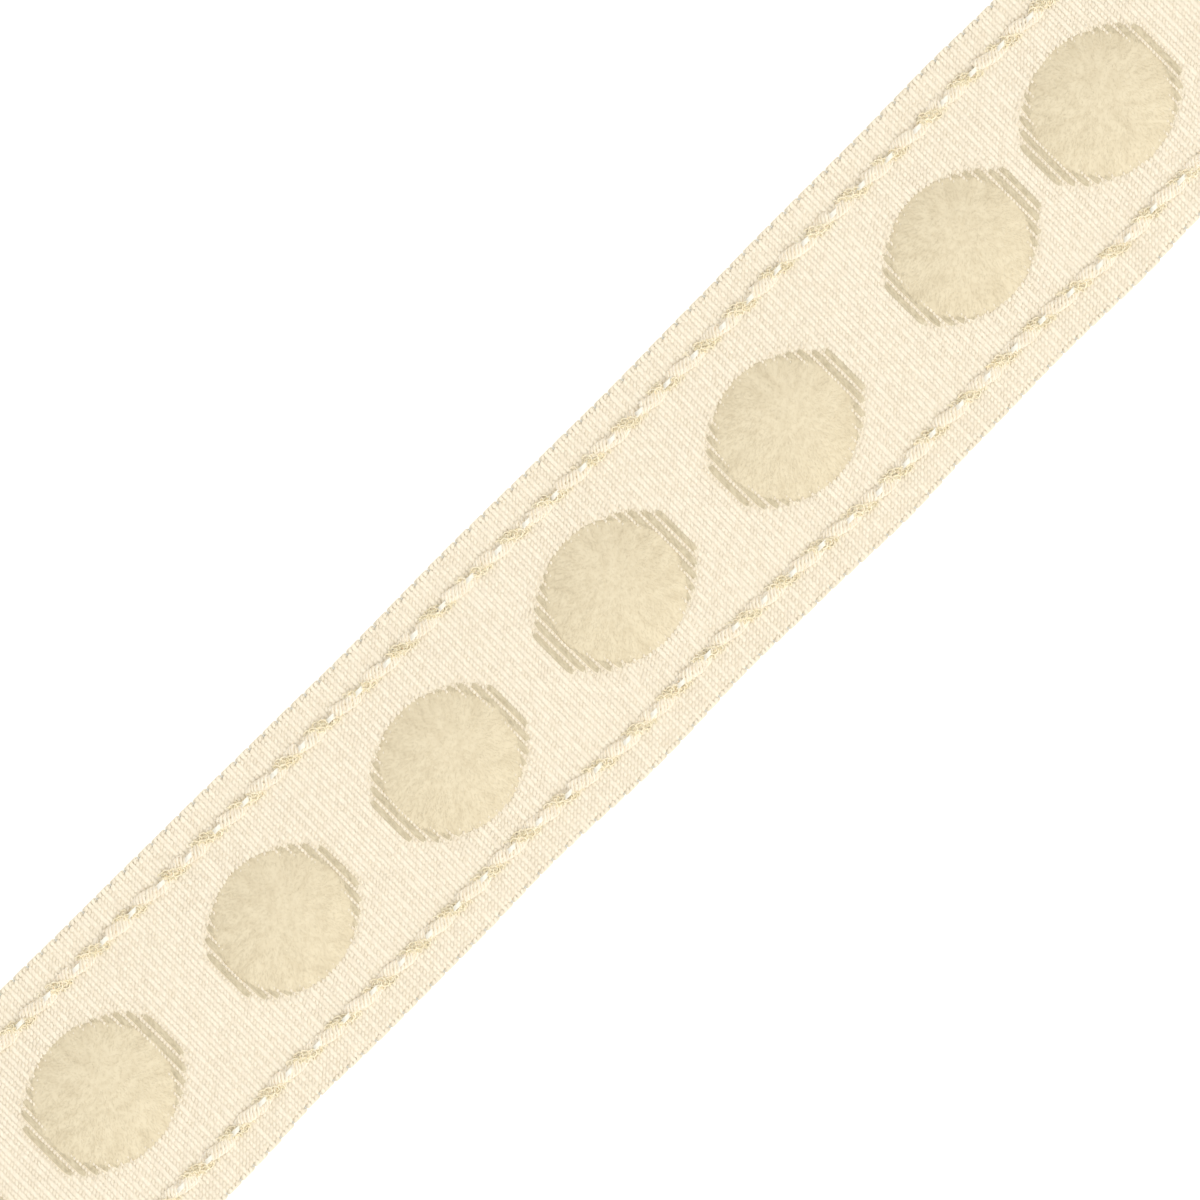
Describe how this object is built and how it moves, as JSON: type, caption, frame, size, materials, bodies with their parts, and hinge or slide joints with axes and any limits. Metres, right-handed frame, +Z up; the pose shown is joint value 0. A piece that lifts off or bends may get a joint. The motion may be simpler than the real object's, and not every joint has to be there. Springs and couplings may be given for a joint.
{
  "type": "velvet dot border tape",
  "caption": "Flat cream ribbed tape with a row of round cut pile dots down its middle and a twisted gimp cord stitched along each side.",
  "frame": {"origin": "middle of the flat back, on the surface that the tape lies on", "axes": "+X along the tape, +Y across it to the far selvedge, +Z up out of its patterned face"},
  "size_m": [0.2436, 0.0392, 0.0028],
  "materials": {
    "ground_weave": "matt ribbed weave with a slight sheen on the ribs",
    "gimp_yarn": "one matt crepe ply and one lustrous ply, twisted",
    "cut_pile": "dense cut velvet pile"
  },
  "bodies": {
    "root": {"tape": "ground_weave", "gimp_far": "gimp_yarn", "gimp_near": "gimp_yarn", "pile_dot_1": "cut_pile", "pile_dot_2": "cut_pile", "pile_dot_3": "cut_pile", "pile_dot_4": "cut_pile", "pile_dot_5": "cut_pile", "pile_dot_6": "cut_pile", "pile_dot_7": "cut_pile", "pile_dot_8": "cut_pile"}
  },
  "joints": []
}
